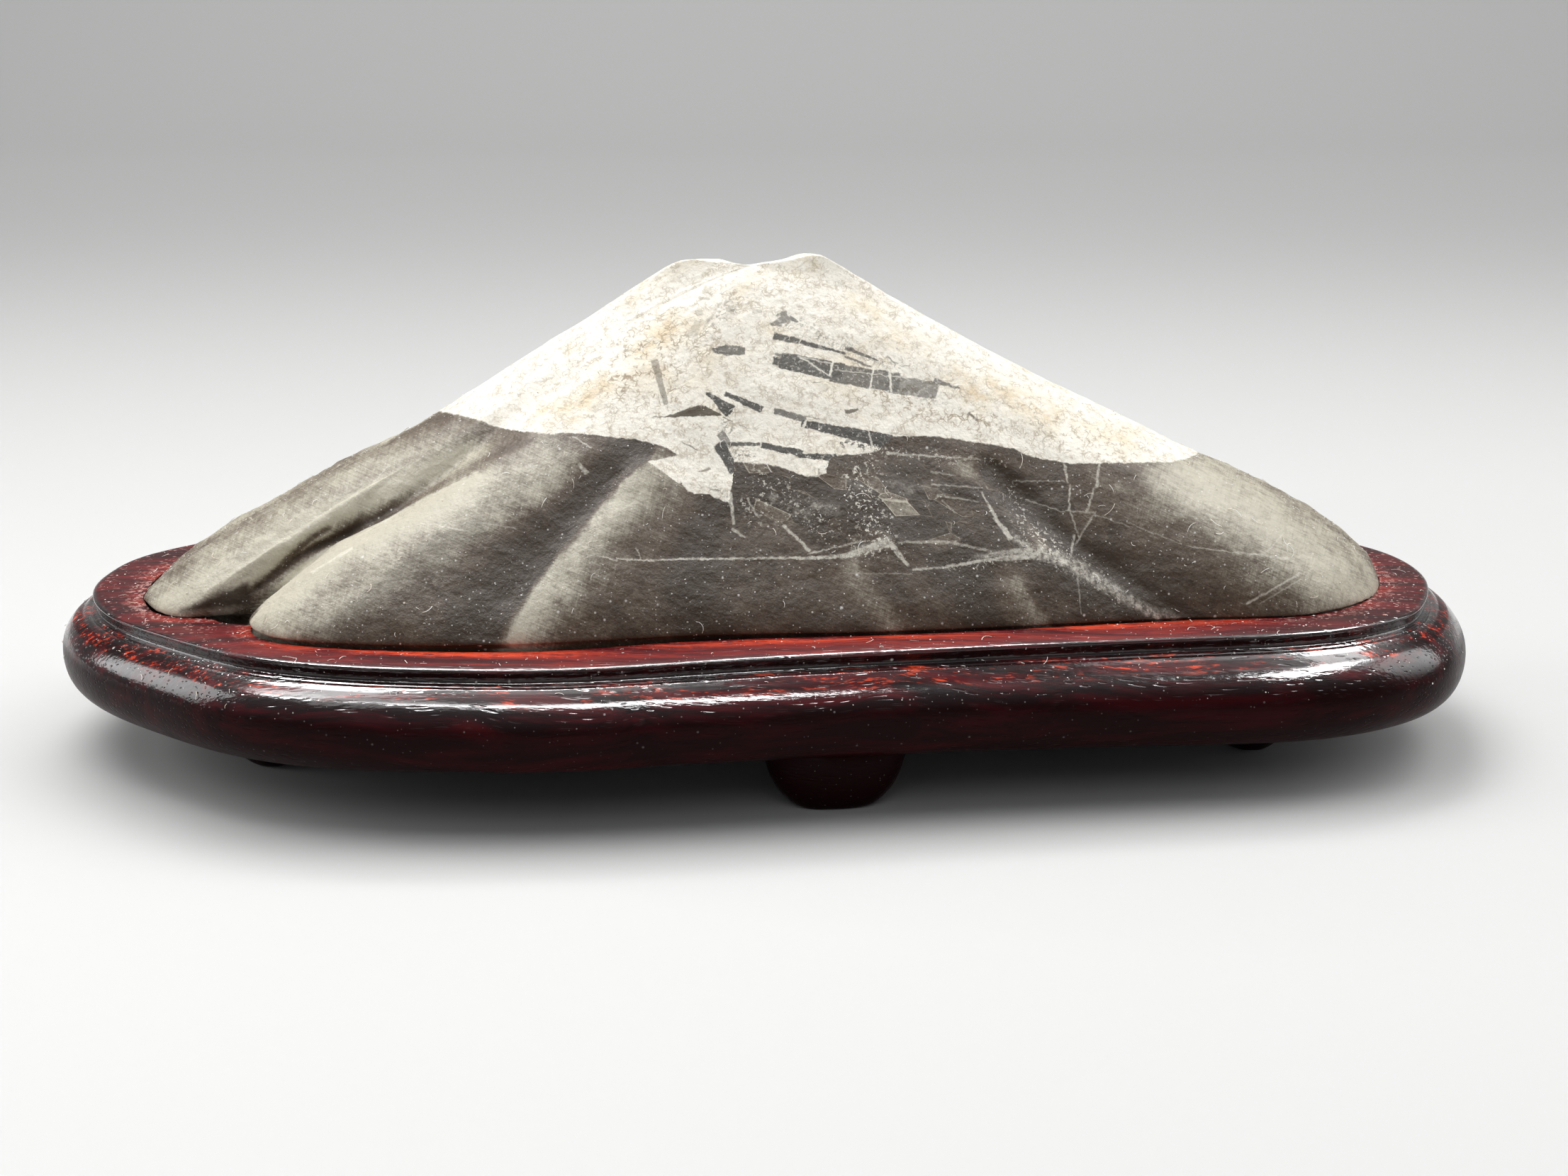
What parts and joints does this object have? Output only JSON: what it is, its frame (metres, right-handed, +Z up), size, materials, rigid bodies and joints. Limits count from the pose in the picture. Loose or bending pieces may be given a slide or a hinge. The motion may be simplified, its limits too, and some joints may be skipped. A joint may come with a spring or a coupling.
{
  "type": "scholar's rock on a carved wooden stand",
  "caption": "Mountain-shaped viewing stone with a white cap and gullied grey-brown slopes, seated in a low moulded lacquered wooden stand on small feet.",
  "frame": {"origin": "middle of the stand's outline in plan, on the surface that its feet rest on", "axes": "+X along the stone's length, to the right seen from its front; -Y is the front; +Z up"},
  "size_m": [0.1758, 0.0772, 0.0602],
  "materials": {
    "rock": "satin",
    "lacquered_rosewood": "gloss"
  },
  "bodies": {
    "root": {"stand": "lacquered_rosewood", "stone": "rock"}
  },
  "joints": []
}
